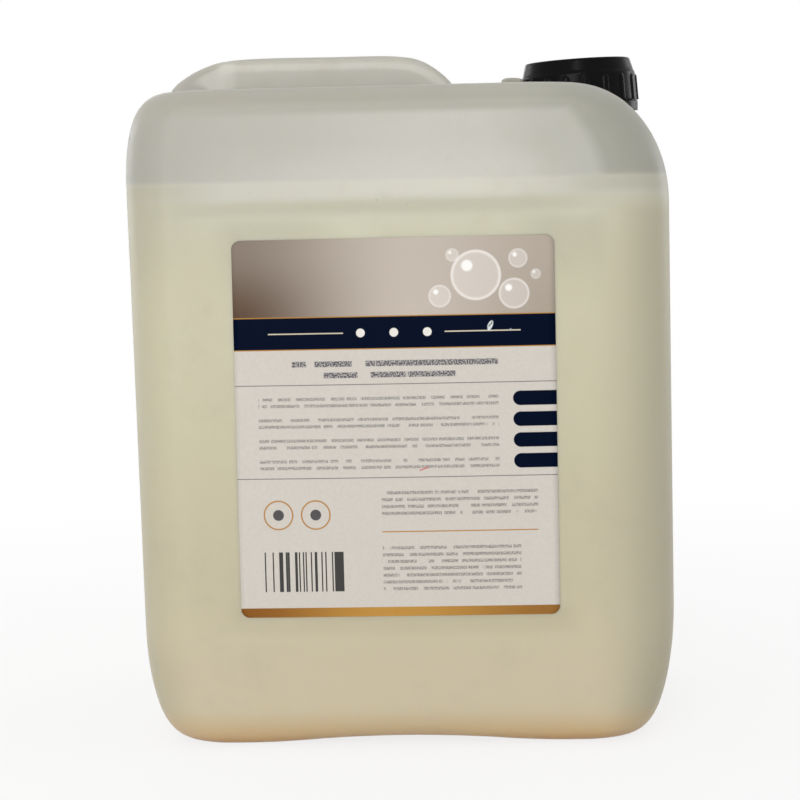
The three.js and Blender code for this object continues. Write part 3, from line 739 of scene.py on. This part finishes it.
def labelPrint():
    material, shader, start = newMaterial("labelPrint")
    where, x, _, z = place(start)
    u = x - (label["x"] - label["wide"] / 2)
    v = z - label["zero"]
    soft = printed["soft"]
    fromEdge, toEdge = -1, label["wide"] + 1  # a little past both sides

    def bar(left, right, low, high):  # 1 inside a rectangle
        return (u.ease(left - soft, left + soft) * u.ease(right + soft, right - soft)
                * v.ease(low - soft, low + soft) * v.ease(high + soft, high - soft))

    def disc(cx, cy, r, edge=soft):  # 1 inside a circle
        return ((u - cx) * (u - cx) + (v - cy) * (v - cy)).math("SQRT").ease(r + edge, r - edge)

    def ring(outer, inner):  # what one disc has and the other hasn't
        return (outer - inner).math("MAXIMUM", 0.0)

    def flatNoise(across, up, detail):
        at = start.node("ShaderNodeCombineXYZ", None, {0: across, 1: up, 2: 0.0})
        return start.node("ShaderNodeTexNoise", {"noise_dimensions": "2D"},
                          {"Vector": at, "Scale": 1.0, "Detail": detail})

    def strokeRows(box, pitch, fill, word, seed):  # level rows, broken into words and the words into strokes
        row = (v - box[2]) / pitch
        part = row.math("FRACT")
        filled = part.ease(0.0, 0.12) * part.ease(fill + 0.12, fill)
        words = flatNoise(u * word, (row.math("FLOOR") + seed) * 7.31, 1.0).ease(0.36, 0.41)
        strokes = flatNoise(u * 2.4, v * 1.6, 0.0).ease(0.38, 0.55)
        return filled * words * (0.35 + 0.65 * strokes) * bar(*box)

    # header: a soft taupe field, lightest in the middle, with pale soap bubbles
    field = laid(
        u.ease(0.0, 62.0).tint(inks["fieldLeft"], inks["fieldMiddle"]),
        (u.ease(64.0, 111.0), inks["fieldRight"]),
        (v.ease(102.0, 128.0) * 0.35, inks["fieldTop"]))
    for cx, cy, r in printed["bubbles"]:
        whole = disc(cx, cy, r, 0.35)
        field = laid(
            field,
            (whole * 0.34, inks["bubble"]),
            (ring(whole, disc(cx, cy, r * 0.9, 0.5)) * 0.5, inks["bubbleRim"]),
            (disc(cx - r * 0.35, cy + r * 0.38, r * 0.22, 0.5) * 0.8, inks["glint"]))

    # dark band edged with thin gold lines, with three plain dots and two dashes on it
    fibre = grain(start, where, 0.9, 3.0)
    bandLow, bandHigh = printed["band"]
    colour = laid(
        (fibre.ease(0.3, 0.7) * 0.25).tint(inks["paper"], inks["fibre"]),
        (v.ease(*printed["fieldFoot"]), field),
        (bar(fromEdge, toEdge, bandLow, bandHigh), inks["gold"]),
        (bar(fromEdge, toEdge, bandLow + printed["bandEdge"], bandHigh - printed["bandEdge"]), inks["navy"]))
    for cx in printed["dots"]:
        colour = disc(cx, printed["dotHigh"], printed["dotRadius"]).tint(colour, inks["dot"])
    for dash in printed["dashes"]:
        colour = bar(*dash).tint(colour, inks["dash"])

    # rows of strokes between thin rules, with dark tabs at the right edge
    for box, spacing, weight, name in printed["rows"]:
        colour = (strokeRows(box, *spacing) * weight).tint(colour, inks[name])
    for low in printed["rules"]:
        colour = bar(fromEdge, toEdge, low, low + printed["ruleThick"]).tint(colour, inks["rule"])
    colour = bar(*printed["goldRule"]).tint(colour, inks["gold"])
    left, half = printed["tabLeft"], printed["tabHigh"] / 2
    rowSides, rowEnds, spacing, weight = printed["tabRows"]
    for k in range(printed["tabs"]):
        low = printed["tabLow"] + k * printed["tabPitch"]
        tab = bar(left, toEdge, low, low + 2 * half) + disc(left, low + half, half)
        box = (*rowSides, low + rowEnds[0], low + rowEnds[1])
        colour = laid(
            colour,
            (tab.math("MINIMUM", 1.0), inks["navy"]),
            (strokeRows(box, *spacing, 2.0 * k) * weight, inks["grey"]))

    # a block of plain upright bars, and two rings
    slot = (u / printed["barWide"]).math("FLOOR")
    stripe = start.node("ShaderNodeTexWhiteNoise", {"noise_dimensions": "1D"}, {"W": slot})
    colour = (stripe.ease(0.47, 0.53) * bar(*printed["barBlock"]) * 0.92).tint(colour, inks["bars"])
    for cx in printed["rings"]:
        cy = printed["ringHigh"]
        colour = laid(
            colour,
            (ring(disc(cx, cy, 5.2), disc(cx, cy, 4.7)), inks["gold"]),
            (disc(cx, cy, 1.9) * 0.85, inks["navy"]))

    # gold foot strip, brightest in the middle
    strip = u.ease(0, 52).tint(inks["stripLeft"], inks["stripMiddle"])
    strip = u.ease(58, 111).tint(strip, inks["stripRight"])
    shine = v.ease(*printed["stripTop"])

    # wear: a small leaf-shaped chip and a speck on the dark band, a faint red tick below
    chipX, chipY = u - printed["chip"][0], v - printed["chip"][1]
    slant = chipX - chipY * 0.35
    chip = (slant * slant * 0.95 + chipY * chipY * 0.27).math("SQRT").ease(1.0, 0.75)
    flake = grain(start, where, 1.4, 2.0).ease(0.36, 0.46)
    tickX, tickY = u - printed["tick"][0], v - printed["tick"][1]
    tick = abs(tickY - tickX * 0.35).ease(0.4, 0.15) * tickX.ease(-1.8, -1.4) * tickX.ease(1.8, 1.2)
    colour = laid(
        colour,
        (shine, strip),
        (chip * flake, inks["chip"]),
        (disc(*printed["speck"]), inks["speck"]),
        (tick * 0.7, inks["tick"]))

    plug(colour, shader, "Base Color")
    plug(0.5 - shine * 0.15 + (fibre - 0.5) * 0.1, shader, "Roughness")
    plug(shine * 0.2, shader, "Metallic")
    wave = bumped(start, grain(start, where, 0.04, 2.0), 0.12, 0.001)
    plug(bumped(start, fibre, 0.06, 0.0002, wave), shader, "Normal")
    setEven(shader, printed["even"])
    return material


sheetPoints, sheetFaces = labelSheet()
sheet = meshPiece("labelSheet", sheetPoints, sheetFaces.tolist(), labelPrint(), "can_body")
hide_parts("label")
print("label", len(sheetFaces), "faces")

# studio, in metres
studio = {
    "world": 0.56, "floor": [(-30, -30, 0), (30, -30, 0), (30, 60, 0), (-30, 60, 0)], "floorRough": 0.8,
    "floorGlow": 0.8, "whiteFrom": 120.0, "whiteTo": 700.0,  # all white far off, the shadow kept near the can
    # lamps: place, aim, size, power
    "lamps": {
        "keyLight": ((-0.65, -2.15, 0.5), (0, 0, 0.12), (1.1, 1.1), 19.0),
        "rightLight": ((1.9, 1.5, 0.5), (0, 0, 0.12), (0.9, 0.9), 6.5),
        "leftLight": ((-1.9, 1.5, 0.5), (0, 0, 0.12), (0.9, 0.9), 6.5),
        "topLight": ((0.1, 0.1, 1.7), (0, 0, 0.1), (1.0, 0.8), 2.6),
        "glintLight": ((-0.06, -1.95, 1.2), (0.066, 0, 0.235), (0.3, 0.7), 6.0),  # the shine on the cap's wall
        "backLight": ((-0.3, 2.2, 0.16), (0, 0, 0.12), (1.2, 1.2), 13.0),
    },
}


def seenPlainly(start):  # 1 for camera, mirror and glass rays, which all show the plain backdrop
    path = start.node("ShaderNodeLightPath").socket.node.outputs
    rays = ("Is Camera Ray", "Is Glossy Ray", "Is Transmission Ray")
    straight, glossy, glass = (Sock(start.tree, path[ray]) for ray in rays)
    return (straight + glossy + glass).math("MINIMUM", 1.0)


def paleFloor():
    material, shader, start = newMaterial("paleFloor")
    where, x, y, _ = place(start)
    patch = grain(start, where, 0.01, 2.0).ease(0.2, 0.8)
    plug(patch.tint(ink(236, 236, 235), ink(240, 240, 239)), shader, "Base Color")
    setEven(shader, {"Roughness": studio["floorRough"]})
    away = (x * x + y * y).math("SQRT").ease(studio["whiteFrom"], studio["whiteTo"])
    white = seenPlainly(start) * (studio["floorGlow"] + away * (1 - studio["floorGlow"]))
    glow = start.node("ShaderNodeEmission", None, {"Color": (1, 1, 1, 1), "Strength": 1.0})
    lit = Sock(start.tree, shader.outputs[0])
    mixed = start.node("ShaderNodeMixShader", None, {0: white, 1: lit, 2: glow})
    plug(mixed, material.node_tree.nodes["Material Output"], "Surface")
    return material


floorMesh = bpy.data.meshes.new("studioFloor")
floorMesh.from_pydata(studio["floor"], [], [(0, 1, 2, 3)])
floorMesh.materials.append(paleFloor())
floor = bpy.data.objects.new("studioFloor", floorMesh)
bpy.context.collection.objects.link(floor)

world = bpy.data.worlds.new("studioWorld")
bpy.context.scene.world = world
world.use_nodes = True
background = world.node_tree.nodes["Background"]
setEven(background, {"Color": (1, 1, 1, 1)})
plug(studio["world"] + seenPlainly(Sock(world.node_tree)) * (1.0 - studio["world"]), background, "Strength")


def posed(side, up, back, spot):  # a matrix from three unit directions and a place
    return Matrix([(side[i], up[i], back[i], spot[i]) for i in range(3)] + [(0, 0, 0, 1)])


def lamp(name, spot, aim, size, power):
    light = bpy.data.lights.new(name, "AREA")
    light.shape, light.size, light.size_y = "RECTANGLE", size[0], size[1]
    light.energy = power
    lampObject = bpy.data.objects.new(name, light)
    bpy.context.collection.objects.link(lampObject)
    back = np.array(spot, float) - np.array(aim, float)
    back /= np.linalg.norm(back)
    side = np.cross((0, 0, 1), back)
    side /= np.linalg.norm(side)
    lampObject.matrix_world = posed(side, np.cross(back, side), back, spot)


for lampName, lampRow in studio["lamps"].items():
    lamp(lampName, *lampRow)
print("studio", len(studio["lamps"]), "lamps")

# camera: place in metres, focal length in pixels of the frame, angles in degrees
view = {"spot": (0.040, -0.8573, 0.18997), "focal": 2290.8, "frame": 800, "sensor": 36.0, "near": 0.01, "far": 200,
        "yaw": -2.872, "pitch": 4.92, "roll": 1.264}
yaw, pitch, roll = (math.radians(view[k]) for k in ("yaw", "pitch", "roll"))
ahead = np.array([math.sin(yaw) * math.cos(pitch), math.cos(yaw) * math.cos(pitch), -math.sin(pitch)])
right = np.array([math.cos(yaw), -math.sin(yaw), 0.0])
above = np.cross(right, ahead)
side = right * math.cos(roll) - above * math.sin(roll)
above = right * math.sin(roll) + above * math.cos(roll)
cameraData = bpy.data.cameras.new("photoCamera")
cameraData.sensor_fit, cameraData.sensor_width = "HORIZONTAL", view["sensor"]
cameraData.lens = view["focal"] / view["frame"] * view["sensor"]
cameraData.clip_start, cameraData.clip_end = view["near"], view["far"]
camera = bpy.data.objects.new("photoCamera", cameraData)
bpy.context.collection.objects.link(camera)
camera.matrix_world = posed(side, above, -ahead, view["spot"])
bpy.context.scene.camera = camera
bpy.context.scene.view_settings.view_transform = "Standard"
